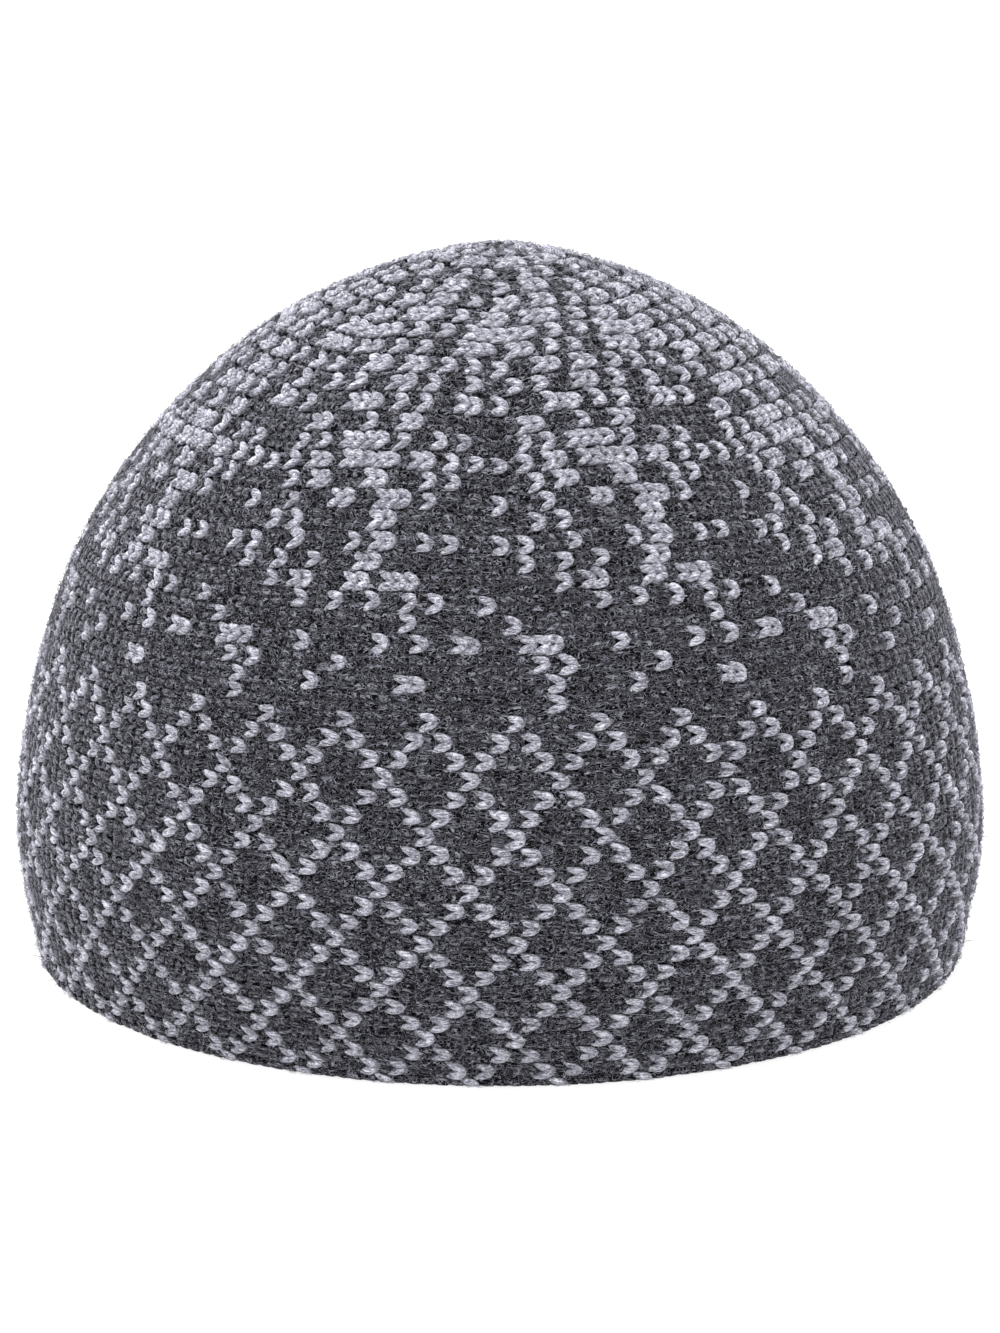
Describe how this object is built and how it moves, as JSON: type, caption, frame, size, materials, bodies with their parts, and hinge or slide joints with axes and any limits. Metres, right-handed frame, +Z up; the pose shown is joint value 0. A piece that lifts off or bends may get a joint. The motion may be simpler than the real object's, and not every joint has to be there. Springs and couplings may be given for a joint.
{
  "type": "knit kufi cap",
  "caption": "Close-fitting domed skull cap of thick machine-knit wool, open at a rolled rim, with a diamond lattice round the wall and a flecked crown.",
  "frame": {"origin": "middle of the rim, on the surface that the cap rests on", "axes": "+Z up through the crown, +X along the longer side of the head's oval, -Y the side shown as the front"},
  "size_m": [0.187, 0.1468, 0.1377],
  "materials": {
    "charcoal_yarn": "fuzzy heathered wool, machine knit",
    "grey_yarn": "fuzzy pale grey wool, machine knit"
  },
  "bodies": {
    "root": {"knit_shell": "charcoal_yarn"}
  },
  "joints": []
}
